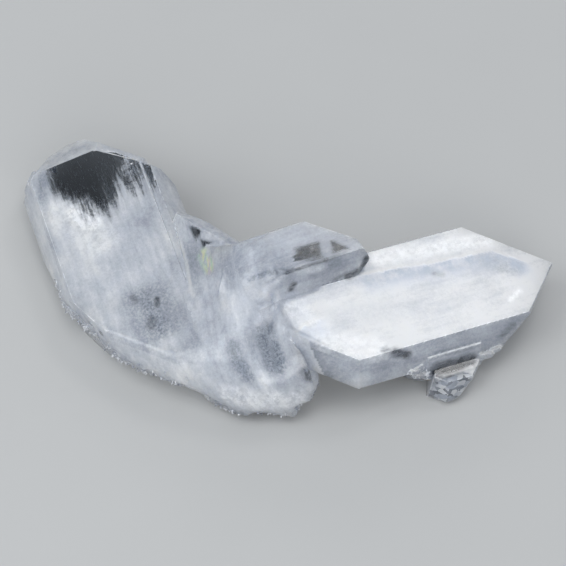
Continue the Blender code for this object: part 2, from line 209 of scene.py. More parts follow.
# Places broken into small facets that are painted bright and dark as lit and shaded facets, given like the
# clouds.
CHIPPED_MARKS = [
    (None, [(25.8, -25.4, 2.0), (27.7, -25.0, 3.0), (29.8, -24.2, 2.2)], 2.3, 1.0),
    (None, [(25.9, -24.9, 4.7), (28.0, -24.3, 4.5), (30.6, -22.9, 4.2)], 0.9, 1.0),
]

# Marks are full up to the first share of their half width and gone at the second, and those of a crystal
# reach this many millimetres under its top face.
MARK_EDGE = (0.35, 1.3)
MARK_SKIN = 1.2

# Inner edges seen through the top face, each with a painted shade in front of it: crystal, course along and
# across, reach of the painted shade in front of it in millimetres, and strength of the painted shade.
INNER_EDGES = [
    ("right", [(-9.0, -5.8), (-1.4, -5.3), (3.6, -4.5), (12.0, -4.0), (16.2, -3.7), (21.2, 0.4)], 5.5, 1.0),
    ("right", [(-24.0, 1.6), (-21.9, 0.5), (-17.7, -0.3)], 5.5, 0.6),
]

# They show this many millimetres under the top face, fade in and out round their ends, are full over a
# share of their reach, and have a painted bright reflection line beside them: its place and its soft edge.
INNER_SKIN = 0.8
INNER_START = (-2.0, 2.0)
INNER_END = (-2.0, 1.0)
INNER_CORE = 0.1
INNER_LINE = -0.3
INNER_LINE_EDGE = (0.1, 0.5)

# Broken lower edges, where small crystals and grit sit: points in millimetres. They are rough up to the first
# distance and smooth from the second.
BROKEN_EDGES = [
    [(-37.6, -3.0, 4.0), (-36.4, -7.0, 3.4), (-34.4, -10.0, 3.0), (-31.1, -13.4, 3.0)],
    [(-30.2, -16.0, 3.0), (-23.7, -21.0, 3.4), (-17.2, -24.4, 4.0)],
    [(-12.7, -25.6, 1.4), (-8.6, -27.9, 1.6), (-4.4, -28.7, 1.8), (-1.4, -28.4, 1.6)],
    [(-0.6, -28.2, 1.8), (1.6, -28.3, 2.6), (3.8, -27.8, 4.0), (4.8, -26.3, 5.8)],
]
BROKEN_REACH = (1.0, 2.8)

# Places where the milk has swallowed the edges: crystal, middle and reach along, across and out of it. Then
# the shares of the reach between which the softness fades, the rounds of softening and the pull of each.
SOFT_PLACES = [
    ("left", (-19.0, 0.0, 0.0), (17.0, 16.0, 9.0)),
    ("fan", (-3.0, 0.0, 0.0), (22.0, 12.0, 10.0)),
    ("fan_right", (0.0, 0.0, 0.0), (14.0, 9.0, 10.0)),
    ("upper", (-11.0, 0.0, 2.0), (8.0, 9.0, 8.0)),
]
SOFT_EDGE = (0.7, 1.1)
SOFT_REPEATS = 17
SOFT_PULL = 0.6

# The top face of this crystal is its own up to a share of its length and width to the fourth power, within
# a skin in millimetres. Each crystal's growth is shifted this far from the one before.
TOP_OWNER = "right"
TOP_REACH = 0.81
TOP_SKIN = 0.12
GROWTH_SHIFT = 100.0

# How sharply the milk of one crystal gives way to the next, and size in millimetres and swing of its clouds.
MILK_BLEND = 2.5
MILK_CLOUD_SIZE = 8.0
MILK_CLOUD_SWING = 0.5

# Streaks of the milk: stretch along, across and out of a crystal, and how far they comb into a clear zone.
STREAKS = (0.13, 1.3, 0.5)
COMB_SWING = 6.0

# Cutting of the surface: distance in metres at which corners are one, turn in radians under which an edge is
# flat, rounds of halving. Step in millimetres from one crossing of a line with the surface to the next.
WELD = 0.000001
FLAT_TURN = 0.001
CUT_ROUNDS = 9
RAY_STEP = 0.0001

# Edges and their painted highlight: turn in degrees from which one is sharp, turn in radians at which the
# painted highlight is brightest, least brightness.
SHARP_TURN = 14.0
BRIGHT_TURN = 0.9
LEAST_EDGE_HIGHLIGHT = 0.35

# Relief and its grain in millimetres on growth faces, broken edges and chipped places, and how rough a place
# has to be to show flat facets.
GROWTH_RELIEF, GROWTH_GRAIN = 0.05, 2.4
BROKEN_RELIEF, BROKEN_GRAIN = 0.8, 1.3
CHIPPED_RELIEF, CHIPPED_GRAIN = 0.6, 1.5
FACETS_FROM = 0.4

# The right crystal is clearer on its steep near side, and darker there as painted shade: how much, and
# between which turns from its top face.
SIDE_CLEAR_AND_SHADE = 0.55
SIDE_TURN = (0.1, 0.3)

# Clear skin over the dense milk of each crystal, in millimetres.
SKIN_DEPTH = {"left": 1.2, "right": 1.6, "upper": 2.2, "fan": 1.0, "fan_right": 1.0}

# Fibres under the skin, for each square millimetre of surface. Then in millimetres their least and further
# depth, scatter, greatest length and range of width; how much they wander; how deep in millimetres their ends
# lie; and the most in one piece.
FIBRE_DENSITY = {"left": 63.0, "right": 34.0, "upper": 21.0, "fan": 63.0, "fan_right": 63.0}
FIBRE_DEPTH = (0.15, 2.4)
FIBRE_SCATTER = 0.15
FIBRE_LENGTH = 1.5
FIBRE_WIDTH = (0.04, 0.13)
FIBRE_WANDER = 0.16
FIBRE_COVER = 0.3
FIBRE_LIMIT = 98000

# Fine fractures: crystal, place along and across with depth under the top face, spread of each, count,
# greatest length and width in millimetres, and how closely they follow the crystal's length. Then how deep in
# millimetres their middles and their ends lie at least.
FLECK_CLOUDS = [
    ("left", (13.8, -4.0, 2.0), (1.6, 2.4, 1.2), 900, 0.9, 0.16, 0.8),
    ("left", (12.0, -5.0, 1.2), (1.5, 1.2, 0.7), 700, 0.5, 0.22, 0.4),
    ("left", (15.5, -0.3, 2.0), (2.6, 0.35, 1.0), 260, 1.6, 0.10, 0.97),
    ("left", (17.0, 1.4, 2.2), (3.2, 0.9, 1.4), 400, 1.8, 0.08, 0.95),
    ("left", (19.5, -6.4, 2.6), (3.4, 2.0, 1.6), 300, 1.5, 0.07, 0.95),
    ("left", (22.0, -1.0, 3.0), (2.6, 3.6, 1.6), 260, 1.2, 0.05, 0.92),
    ("left", (16.6, 4.6, 2.0), (2.4, 1.2, 1.2), 300, 1.5, 0.08, 0.93),
    ("left", (-12.0, -0.8, 1.4), (3.0, 2.0, 0.8), 300, 0.5, 0.14, 0.5),
    ("upper", (1.0, 0.0, 2.2), (2.2, 0.9, 1.0), 90, 0.5, 0.07, 0.5),
    ("upper", (5.4, 0.8, 1.6), (0.9, 0.8, 0.8), 40, 0.5, 0.07, 0.5),
    ("upper", (7.4, 4.6, 2.0), (1.0, 1.0, 1.0), 40, 0.6, 0.08, 0.5),
    ("right", (4.4, -3.4, 0.9), (1.3, 0.8, 0.5), 160, 0.5, 0.16, 0.2),
    ("right", (16.6, 5.4, 1.0), (1.4, 1.0, 0.5), 160, 1.0, 0.14, 0.2),
    ("right", (-1.0, 17.0, 6.0), (3.0, 1.0, 1.2), 160, 0.8, 0.2, 0.2),
    ("right", (4.0, 2.0, 3.0), (12.0, 5.0, 1.6), 1200, 0.8, 0.10, 0.3),
    ("fan_right", (0.6, -0.8, 1.2), (2.2, 1.2, 0.7), 400, 0.4, 0.12, 0.3),
    ("fan", (-9.5, 1.6, 1.2), (2.6, 1.2, 0.7), 400, 0.4, 0.12, 0.3),
]
FLECK_COVER = 0.35
FLECK_END_COVER = 0.1

# Grit on the broken edges: spread, lowest place, farthest distance from the surface, length and width in
# millimetres, how much it leans, and share of the length between the middle and the shoulders of a crystal.
GRIT_SPREAD = 0.9
GRIT_LOWEST = 0.5
GRIT_REACH = 2.5
GRIT_LENGTH = (0.5, 1.2)
GRIT_WIDTH = (0.16, 0.38)
GRIT_LEAN = 0.5
GRIT_SHOULDER = 0.28

# Quartz bends light this much, and its milk spreads red, green and blue light over these shares of its depth.
QUARTZ_IOR = 1.544
MILK_SPREAD = (1.0, 1.08, 1.2)

# Colours of the clouds with their painted highlights and shade, the painted edge highlights, the painted
# shade in front of the inner edges, the painted dark of clear spots, the painted glint lines, the painted
# light and shade of chipped facets, the film, and of the fractures and the milk inside.
LIT_COLOUR = (0.97, 0.98, 1.0)
DIM_COLOUR = (0.22, 0.26, 0.32)
INNER_SHADE_COLOUR = (0.36, 0.41, 0.50)
EDGE_HIGHLIGHT_COLOUR = (0.95, 0.97, 1.0)
DARK_COLOUR = (0.035, 0.045, 0.06)
GLINT_COLOUR = (0.98, 0.99, 1.0)
CHIP_LIGHT_AND_SHADE_COLOURS = [(0.15, (0.13, 0.14, 0.16)), (0.5, (0.42, 0.46, 0.53)), (0.85, (0.90, 0.93, 1.0))]
FILM_COLOURS = [(0.36, (1.0, 0.76, 0.75)), (0.48, (1.0, 0.98, 0.62)), (0.62, (0.66, 0.96, 0.68))]
FLECK_COLOURS = [(0.3, (0.82, 0.88, 0.97)), (0.7, (1.0, 1.0, 1.0))]
INSIDE_COLOURS = [(0.25, (0.84, 0.88, 0.94)), (0.6, (0.93, 0.95, 0.98)), (0.9, (0.97, 0.98, 1.0))]
GRIT_COLOUR = (0.96, 0.97, 1.0)

# Studio in metres and watts. The top faces of the right tablet and the upper prism mirror the camera along
# TOP_MIRROR. Lights: name, place from the camera's aim, size, power, colour.
TOP_MIRROR = (0.341, 0.459, 0.820)
WHITE = (1.0, 1.0, 1.0)
LIGHTS = [
    ("back_softbox", Vector((0.03, -0.01, 0.0)) + Vector(TOP_MIRROR) * 0.60, (0.15, 0.12), 0.25, WHITE),
    ("side_softbox", Vector((-0.45, -0.20, 0.50)), (0.5, 0.5), 1.75, (0.95, 0.98, 1.0)),
    ("high_softbox", Vector((0.10, -0.20, 0.95)), (0.5, 0.5), 1.6, WHITE),
    ("front_softbox", Vector((0.08, -0.65, 0.30)), (0.6, 0.35), 1.5, WHITE),
    ("rear_softbox", Vector((-0.10, 0.70, 0.32)), (0.6, 0.3), 0.8, WHITE),
]
SKY_COLOUR = (0.85, 0.91, 1.0, 1.0)
SKY_STRENGTH = 0.40
FLOOR_SIZE = 6.0

# Camera over the near side of the cluster.
VIEW_HEIGHT = math.radians(50.0)
VIEW_DISTANCE = 0.480
VIEW_AIM = (-0.00023, -0.00654, 0.0090)
PICTURE_WIDTH = 0.09622
SENSOR_WIDTH = 36.0


def crystal_axes(name):
    """Long, side and face axis of a crystal, as rows."""
    heading, dip, roll = (math.radians(value) for value in CRYSTALS[name][1])
    level = math.cos(dip)
    long_axis = np.array((level * math.cos(heading), level * math.sin(heading), math.sin(dip)))
    upright = np.array(UP)
    upright = upright - upright.dot(long_axis) * long_axis
    upright /= np.linalg.norm(upright)
    face_axis = math.cos(roll) * upright + math.sin(roll) * np.cross(long_axis, upright)
    return np.array((long_axis, np.cross(long_axis, face_axis), face_axis))


def in_crystal(points, name):
    """Points of the object as distances along, across and out of a crystal."""
    return (points - np.array(CRYSTALS[name][0])) @ crystal_axes(name).T


def from_crystal(local, name):
    """Points along, across and out of a crystal as points of the object."""
    return np.asarray(local, dtype=float) @ crystal_axes(name) + np.array(CRYSTALS[name][0])


def lattice_value(cell, seed):
    """Fixed chance value in 0..1 for each lattice cell."""
    mixed = (cell[:, 0] * 73856093) ^ (cell[:, 1] * 19349663) ^ (cell[:, 2] * 83492791) ^ (seed * 2654435761)
    mixed = (mixed ^ (mixed >> 13)) * 1274126177
    mixed = mixed ^ (mixed >> 16)
    return (mixed & 0xFFFFFF) / 0xFFFFFF


def smooth_noise(points, size, seed):
    """Smooth noise in 0..1 with one lattice cell per size."""
    scaled = points / size
    cell = np.floor(scaled).astype(np.int64)
    part = scaled - cell
    part = part * part * (3.0 - 2.0 * part)
    total = np.zeros(len(points))
    for corner in np.ndindex(2, 2, 2):
        weight = np.prod(np.where(np.array(corner) == 1, part, 1.0 - part), axis=1)
        total += weight * lattice_value(cell + np.array(corner), seed)
    return total


def cloud_noise(points, size, seed=0, octaves=4):
    """Noise of several sizes summed, in about 0..1."""
    shares = [0.5 ** octave for octave in range(octaves)]
    layers = [share * smooth_noise(points, size * share, seed + layer) for layer, share in enumerate(shares)]
    return sum(layers) / sum(shares)


def ease(value, low, high):
    """Smooth step from 0 at low to 1 at high."""
    share = np.clip((value - low) / (high - low), 0.0, 1.0)
    return share * share * (3.0 - 2.0 * share)


def line_distance(points, line):
    """Distance of each point from a bent line."""
    nearest = np.full(len(points), 1e9)
    line = [np.asarray(corner, dtype=float) for corner in line]
    if len(line) == 1:
        line = line * 2
    for start, end in zip(line, line[1:]):
        span = end - start
        length = max(span.dot(span), 1e-12)
        share = np.clip(((points - start) @ span) / length, 0.0, 1.0)
        nearest = np.minimum(nearest, np.linalg.norm(points - start - share[:, None] * span, axis=1))
    return nearest


def nearest_crystal(points):
    """Index of the crystal that each point belongs to, in the order of CRYSTALS."""
    reach = []
    for name, data in CRYSTALS.items():
        local = in_crystal(points, name)
        share = (local / np.array(data[3])) ** 4
        on_top = (abs(local[:, 2] - data[2]) < TOP_SKIN) & (share[:, :2] < TOP_REACH).all(axis=1)
        reach.append(np.where(on_top & (name == TOP_OWNER), 0.0, share.sum(axis=1)))
    return np.argmin(np.array(reach), axis=0)


def owned_by(points, *names):
    """Which points belong to one of the named crystals."""
    return np.isin(nearest_crystal(points), [list(CRYSTALS).index(name) for name in names])


def clear_depth(points, normals=None):
    """How far each point lies inside a clear zone, and how far the milk combs into it there."""
    depth = np.full(len(points), NO_ZONE)
    comb = np.full(len(points), NO_ZONE_COMB)
    owner = nearest_crystal(points)
    for index, (name, data) in enumerate(CRYSTALS.items()):
        local = in_crystal(points, name)
        below = np.clip(data[2] - local[:, 2], 0.0, ZONE_DEPTH)
        along = local[:, 0] - ZONE_DRIFT[name][0] * below
        across = local[:, 1] - ZONE_DRIFT[name][1] * below
        here = owner == index
        if normals is not None:
            facing = abs(normals @ crystal_axes(name)[2])
            steep = (below > STEEP_FROM) & (normals[:, 2] < STEEP_FACING)
            here = here & ((facing > ZONE_FACING) | steep)
        found = []
        for zone, middle, side, half_length, half_width, past, streaks in CLEAR_ZONES:
            if zone == name:
                reach = np.hypot((along - middle) / half_length, (across - side) / half_width)
                found.append((np.minimum(past, (1.0 - reach) * min(half_length, half_width)), streaks))
        for zone, corners, streaks in CLEAR_WINDOWS:
            if zone == name:
                inside = np.full(len(points), 1e9)
                for (a0, s0), (a1, s1) in zip(corners, corners[1:] + corners[:1]):
                    length = math.hypot(a1 - a0, s1 - s0)
                    edge = ((a1 - a0) * (across - s0) - (s1 - s0) * (along - a0)) / length
                    inside = np.minimum(inside, edge)
                found.append((np.minimum(inside * WINDOW_EDGE, WINDOW_LIMIT), streaks))
        for value, streaks in found:
            better = here & (value > depth)
            depth[better] = value[better]
            comb[better] = streaks
    return depth, comb


def combed(clear, comb, growth):
    """Clearness at each point with the streaks of the milk combed into it."""
    streaks = cloud_noise(growth * STREAKS, 1.0, seed=61)
    return clear + (streaks - 0.5) * COMB_SWING * comb


def mark_value(points, marks):
    """Summed strength of some marks at each point, -1 to 1."""
    value = np.zeros(len(points))
    owner = nearest_crystal(points)
    for name, line, half_width, strength in marks:
        if name is None:
            here = 1.0
            away = line_distance(points, line)
        else:
            local = in_crystal(points, name)
            here = (owner == list(CRYSTALS).index(name)) & (local[:, 2] > CRYSTALS[name][2] - MARK_SKIN)
            away = line_distance(local[:, :2], line)
        value += strength * (1.0 - ease(away / half_width, *MARK_EDGE)) * here
    return np.clip(value, -1.0, 1.0)


def inner_shade(points):
    """Painted shade in front of the inner edges at each point, 0 to 1, and the painted bright reflection line
    along them.
    """
    shade = np.zeros(len(points))
    line = np.zeros(len(points))
    owner = nearest_crystal(points)
    names = list(CRYSTALS)
    for name, course, reach, strength in INNER_EDGES:
        local = in_crystal(points, name)
        here = (owner == names.index(name)) & (local[:, 2] > CRYSTALS[name][2] - INNER_SKIN)
        along = np.array([place[0] for place in course])
        across = np.array([place[1] for place in course])
        ahead = local[:, 1] - np.interp(local[:, 0], along, across)
        ends = ease(local[:, 0] - along[0], *INNER_START) * (1.0 - ease(local[:, 0] - along[-1], *INNER_END))
        fade = (1.0 - ease(ahead, INNER_CORE * reach, reach)) * (ahead > 0.0)
        shade = np.maximum(shade, strength * fade * ends * here)
        line = np.maximum(line, (1.0 - ease(abs(ahead - INNER_LINE), *INNER_LINE_EDGE)) * ends * here)
    return shade, line


def milkiness(points):
    """Share of milk at each point, from the crystal that it is in and soft clouds."""
    levels = np.array([data[4] for data in CRYSTALS.values()])
    weights = []
    for name, data in CRYSTALS.items():
        local = in_crystal(points, name) / np.array(data[3])
        weights.append(np.exp(-MILK_BLEND * (local ** 4).sum(axis=1)) + 1e-9)
    weights = np.array(weights)
    milk = (weights * levels[:, None]).sum(axis=0) / weights.sum(axis=0)
    clouds = cloud_noise(points, MILK_CLOUD_SIZE, seed=11) - 0.5
    return np.clip(milk + MILK_CLOUD_SWING * clouds, 0.0, 1.0)


def growth_places(points):
    """Each point along, across and out of its own crystal, shifted apart from crystal to crystal."""
    owner = nearest_crystal(points)
    places = np.zeros((len(points), 3))
    for index, name in enumerate(CRYSTALS):
        here = owner == index
        places[here] = in_crystal(points[here], name) + GROWTH_SHIFT * index
    return places


def link(name, data):
    """Object in the scene for some mesh, light or camera."""
    item = bpy.data.objects.new(name, data)
    bpy.context.scene.collection.objects.link(item)
    return item


def new_piece(name, points, faces, smooth=False):
    """Mesh object from points in millimetres and faces."""
    mesh = bpy.data.meshes.new(name)
    points = np.asarray(points, dtype=float)
    faces = np.asarray(faces, dtype=np.int32)
    mesh.vertices.add(len(points))
    mesh.vertices.foreach_set("co", (points * MM).ravel())
    mesh.loops.add(faces.size)
    mesh.loops.foreach_set("vertex_index", faces.ravel())
    mesh.polygons.add(len(faces))
    mesh.polygons.foreach_set("loop_start", np.arange(len(faces), dtype=np.int32) * faces.shape[1])
    mesh.update(calc_edges=True)
    mesh.validate()
    if smooth:
        mesh.shade_smooth()
    return link(name, mesh)


def own(item, material, replaced=None):
    """Give a piece its material, body and slot."""
    item.data.materials.clear()
    item.data.materials.append(material)
    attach(item, BODY)
    if replaced:
        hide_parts(replaced)


class Shader:
    """Short way to write a material's nodes."""

    def __init__(self, name):
        self.material = bpy.data.materials.new(name)
        self.material.use_nodes = True
        self.tree = self.material.node_tree
        self.surface = self.tree.nodes["Principled BSDF"]

    def add(self, kind, links=(), **values):
        """Add a node, set its attributes and inputs, and link sockets into it."""
        node = self.tree.nodes.new(kind)
        for key, value in values.items():
            if hasattr(node, key):
                setattr(node, key, value)
            else:
                node.inputs[key.replace("_", " ")].default_value = value
        for socket, source in dict(links).items():
            self.tree.links.new(source, node.inputs[socket])
        return node

    def attribute(self, name, output="Fac"):
        """Value kept on the surface's points."""
        return self.add("ShaderNodeAttribute", attribute_name=name).outputs[output]

    def object_place(self):
        """Place in metres in the object's own frame."""
        return self.add("ShaderNodeTexCoord").outputs["Object"]

    def stretched(self, place, stretch):
        """Place scaled by its own amount along each axis."""
        node = self.add("ShaderNodeMapping", {"Vector": place}, vector_type="POINT")
        node.inputs["Scale"].default_value = stretch
        return node.outputs[0]

    def noise(self, place, scale, detail=3.0, roughness=0.55):
        """Smooth noise in 0..1."""
        values = {"Scale": scale, "Detail": detail, "Roughness": roughness}
        return self.add("ShaderNodeTexNoise", {"Vector": place}, **values).outputs["Fac"]

    def math(self, operation, first, second, clamp=False):
        """One sum, difference, product or maximum of sockets or numbers."""
        node = self.add("ShaderNodeMath", operation=operation, use_clamp=clamp)
        for index, value in enumerate((first, second)):
            if isinstance(value, (int, float)):
                node.inputs[index].default_value = value
            else:
                self.tree.links.new(value, node.inputs[index])
        return node.outputs[0]

    def swing(self, value, amount):
        """A 0..1 value as a swing of the given amount round zero."""
        return self.math("MULTIPLY", self.math("SUBTRACT", value, 0.5), amount)

    def spread(self, value, low, high, out_low, out_high):
        """Map a value from one range to another, smoothly."""
        node = self.add("ShaderNodeMapRange", {"Value": value}, interpolation_type="SMOOTHSTEP")
        for key, number in zip(("From Min", "From Max", "To Min", "To Max"), (low, high, out_low, out_high)):
            node.inputs[key].default_value = number
        return node.outputs[0]

    def ramp(self, value, stops):
        """Colour ramp from (place, colour) stops."""
        node = self.add("ShaderNodeValToRGB", {"Fac": value})
        points = node.color_ramp.elements
        while len(points) < len(stops):
            points.new(0.5)
        for point, (place, colour) in zip(points, stops):
            point.position = place
            point.color = (*colour, 1.0)
        return node.outputs["Color"]

    def mix(self, share, first, second):
        """Mix two colours, each a socket or a value."""
        node = self.add("ShaderNodeMix", {"Factor": share}, data_type="RGBA", clamp_factor=True)
        for socket, value in ((node.inputs[6], first), (node.inputs[7], second)):
            if isinstance(value, bpy.types.NodeSocket):
                self.tree.links.new(value, socket)
            else:
                socket.default_value = (*value, 1.0)
        return node.outputs[2]

    def bump(self, height, strength, distance):
        """Normal of a fine relief, distance in metres."""
        node = self.add("ShaderNodeBump", {"Height": height}, Strength=strength, Distance=distance)
        return node.outputs["Normal"]

    def set(self, **values):
        """Set or link the surface's sockets."""
        for key, value in values.items():
            socket = self.surface.inputs[key.replace("_", " ")]
            if isinstance(value, bpy.types.NodeSocket):
                self.tree.links.new(value, socket)
            else:
                socket.default_value = value
        return self.material


def quartz_material(settings):
    """Quartz that runs from clear to milky, combed along each crystal."""
    s = Shader("quartz")
    place = s.attribute("growth", "Vector")
    streaks = s.noise(s.stretched(place, STREAKS), 1.0, 4.0, 0.62)
    specks = s.noise(place, 1.5, 3.0, 0.65)
    clouds = s.noise(place, 0.16, 4.0, 0.55)
    wisps = s.noise(s.stretched(place, (0.12, 0.7, 0.4)), 1.0, 5.0, 0.6)
    grain = s.noise(place, 5.0, 2.0, 0.6)

    comb = s.attribute("comb")
    edge = s.math("MULTIPLY", s.math("ADD", s.swing(streaks, 8.0), s.swing(specks, 3.0)), comb)
    inside = s.math("ADD", s.attribute("clear"), edge)
    clear = s.spread(inside, -1.8, 1.9, 0.0, 1.0)

    mottle = s.noise(place, 3.2, 4.0, 0.75)
    level = s.attribute("milk")
    for swung, amount in ((wisps, 0.7), (clouds, 0.9), (specks, 0.4)):
        level = s.math("ADD", level, s.swing(swung, amount))
    level = s.math("ADD", level, s.swing(mottle, 0.45), clamp=True)
    milk = s.ramp(level, [
        (0.0, tuple(settings.shade_colour)),
        (0.55, tuple(settings.milk_colour)),
        (1.0, tuple(settings.bright_colour)),
    ])
    # Positive tone whitens the milk, partly as denser milk and partly as painted highlight; negative tone
    # darkens it, partly as clearer spots and partly as painted shade.
    tone = s.attribute("tone")
    broken_up = s.spread(s.noise(place, 0.9, 5.0, 0.75), 0.38, 0.60, 0.45, 1.15)
    lit = s.math("MULTIPLY", s.math("MAXIMUM", tone, 0.0), broken_up, True)
    milk = s.mix(lit, milk, LIT_COLOUR)
    spot_breakup = s.spread(s.noise(place, 2.2, 4.0, 0.75), 0.32, 0.68, 0.3, 1.3)
    spotted = s.math("MULTIPLY", s.math("MULTIPLY", tone, -1.0, True), spot_breakup, True)
    milk = s.mix(spotted, milk, DIM_COLOUR)
    # Painted shade in front of the inner edges of the right tablet, mottled by noise; it also makes the milk
    # denser.
    uneven = s.spread(s.noise(place, 0.45, 5.0, 0.65), 0.35, 0.62, 0.45, 1.0)
    shaded = s.math("MULTIPLY", s.attribute("shade"), uneven)
    milk = s.mix(shaded, milk, INNER_SHADE_COLOUR)
    # Clear quartz gets a dark colour that paints the shade seen through it.
    colour = s.mix(clear, milk, tuple(settings.clear_shade_colour))
    veil = s.spread(s.noise(s.stretched(place, (0.5, 1.5, 1.0)), 1.0, 5.0, 0.7), 0.42, 0.60, 1.0, 0.65)
    # Painted dark of the clear spots and windows.
    dark = s.math("MULTIPLY", s.attribute("dark"), veil, True)
    # Painted highlight along the sharp edges, broken up by noise and kept off the dark marks; where it is
    # strong the quartz is less clear.
    highlight_breakup = s.spread(s.noise(place, 1.1, 3.0, 0.6), 0.3, 0.6, 0.5, 1.0)
    edge_highlight = s.spread(s.math("MULTIPLY", s.attribute("edge_highlight"), highlight_breakup), 0.55, 1.1, 0.0, 0.7)
    edge_highlight = s.math("MULTIPLY", edge_highlight, s.math("SUBTRACT", 1.0, dark), True)
    colour = s.mix(edge_highlight, colour, EDGE_HIGHLIGHT_COLOUR)
    colour = s.mix(dark, colour, DARK_COLOUR)
    # Painted glint lines, with the painted bright line beside the inner edges.
    colour = s.mix(s.attribute("line"), colour, GLINT_COLOUR)

    # Chipped places: facets painted bright and dark, painted light and shade on the broken quartz.
    jitter = s.add("ShaderNodeTexNoise", {"Vector": place}, Scale=0.6, Detail=2.0).outputs["Color"]
    shards = s.stretched(place, (0.45, 0.7, 0.9))
    shards = s.add("ShaderNodeVectorMath", {0: shards, 1: jitter}, operation="ADD")
    facets = s.add("ShaderNodeTexVoronoi", {"Vector": shards.outputs["Vector"]}, Scale=1.5)
    facet = s.add("ShaderNodeSeparateColor", {"Color": facets.outputs["Color"]}).outputs["Red"]
    colour = s.mix(s.math("MULTIPLY", s.attribute("chipped"), 0.85), colour, s.ramp(facet, CHIP_LIGHT_AND_SHADE_COLOURS))

    band = s.noise(s.stretched(place, (0.5, 1.6, 0.4)), 1.0, 2.0, 0.5)
    hue = s.ramp(s.noise(s.stretched(place, (0.2, 0.9, 0.2)), 1.0, 1.0, 0.5), FILM_COLOURS)
    film = s.math("MULTIPLY", s.attribute("film"), s.spread(band, 0.34, 0.54, 0.0, 0.9), True)
    colour = s.mix(film, colour, hue)

    dense = s.math("ADD", s.math("MULTIPLY", level, 0.30), settings.milk_strength)
    dense = s.math("ADD", dense, s.math("MULTIPLY", shaded, 0.35))
    dense = s.math("ADD", dense, s.math("MULTIPLY", lit, 0.35), clamp=True)
    through = s.math("MAXIMUM", s.math("SUBTRACT", 1.0, dense), clear)
    through = s.math("SUBTRACT", through, s.math("MULTIPLY", edge_highlight, 0.6), clamp=True)
    through = s.math("MAXIMUM", through, s.math("MULTIPLY", dark, 0.85))
    rough = s.math("ADD", 0.035, s.math("MULTIPLY", s.spread(grain, 0.35, 0.75, 0.0, 1.0), 0.10))
    height = s.math("ADD", s.math("MULTIPLY", streaks, 0.5), s.math("MULTIPLY", grain, 0.25))
    normal = s.bump(height, 0.5, 0.00005)
    return s.set(Base_Color=colour, Transmission_Weight=through, Roughness=rough, Normal=normal,
                 IOR=QUARTZ_IOR, Subsurface_Weight=0.7, Subsurface_Radius=MILK_SPREAD,
                 Subsurface_Scale=0.006)


def fleck_material():
    """Fine white fractures inside the quartz."""
    s = Shader("fleck")
    place = s.object_place()
    tint = s.ramp(s.noise(place, 900.0, 2.0), FLECK_COLOURS)
    rough = s.spread(s.noise(place, 1500.0, 1.0), 0.3, 0.7, 0.12, 0.4)
    return s.set(Base_Color=tint, Roughness=rough, Specular_IOR_Level=0.8)


def body_mesh(settings):
    """The cluster's surface from the solid in the frame, cut into small triangles."""
    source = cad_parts[NODE]
    bm = bmesh.new()
    bm.from_mesh(source.data)
    bmesh.ops.remove_doubles(bm, verts=bm.verts[:], dist=WELD)
    bmesh.ops.triangulate(bm, faces=bm.faces[:])
    inner = [edge for edge in bm.edges if len(edge.link_faces) == 2]
    flat = [edge for edge in inner if edge.calc_face_angle(math.pi) < FLAT_TURN]
    bmesh.ops.beautify_fill(bm, faces=bm.faces[:], edges=flat, method="ANGLE")
    for _ in range(CUT_ROUNDS):
        long = [edge for edge in bm.edges if edge.calc_length() > settings.grain_size]
        if not long:
            break
        bmesh.ops.subdivide_edges(bm, edges=long, cuts=1)
        bmesh.ops.triangulate(bm, faces=[face for face in bm.faces if len(face.verts) > 3])
    mesh = bpy.data.meshes.new("quartz_body")
    bm.to_mesh(mesh)
    bm.free()
    return link("quartz_body", mesh)


def neighbour_mean(values, edges, count):
    """Mean over the neighbours of each point."""
    total = np.zeros((count,) + values.shape[1:])
    shares = np.zeros(count)
    for first, second in ((0, 1), (1, 0)):
        np.add.at(total, edges[:, first], values[edges[:, second]])
        np.add.at(shares, edges[:, first], 1.0)
    return total / np.maximum(shares, 1.0).reshape((-1,) + (1,) * (values.ndim - 1))


def edge_array(mesh):
    """Both ends of each edge."""
    edges = np.empty(len(mesh.edges) * 2, dtype=np.int32)
    mesh.edges.foreach_get("vertices", edges)
    return edges.reshape(-1, 2)


def sharp_edges(mesh, limit):
    """Which edges turn by more than the limit in degrees, and by how much."""
    bm = bmesh.new()
    bm.from_mesh(mesh)
    turns = np.array([edge.calc_face_angle(0.0) for edge in bm.edges])
    bm.free()
    return turns > math.radians(limit), turns


def softness(places):
    """How far the milk has swallowed the edges at each point, 0 to 1."""
    soft = np.zeros(len(places))
    for name, middle, reach in SOFT_PLACES:
        away = np.linalg.norm((in_crystal(places, name) - np.array(middle)) / np.array(reach), axis=1)
        soft = np.maximum(soft, 1.0 - ease(away, *SOFT_EDGE))
    return soft


def mesh_arrays(mesh):
    """Vertex places in millimetres and vertex normals."""
    count = len(mesh.vertices)
    places = np.empty(count * 3)
    mesh.vertices.foreach_get("co", places)
    normals = np.empty(count * 3)
    mesh.vertices.foreach_get("normal", normals)
    return places.reshape(-1, 3) / MM, normals.reshape(-1, 3)


def store(mesh, name, values, kind="FLOAT"):
    """Keep one value per vertex for the material to read."""
    layer = mesh.attributes.new(name, kind, "POINT")
    field = "vector" if kind == "FLOAT_VECTOR" else "value"
    layer.data.foreach_set(field, np.asarray(values, dtype=float).ravel())


def soften(mesh):
    """Smooth the places where the milk has swallowed the edges."""
    places = mesh_arrays(mesh)[0]
    edges = edge_array(mesh)
    pull = SOFT_PULL * softness(places)
    for _ in range(SOFT_REPEATS):
        places += (neighbour_mean(places, edges, len(places)) - places) * pull[:, None]
    mesh.vertices.foreach_set("co", (places * MM).ravel())
    mesh.update()


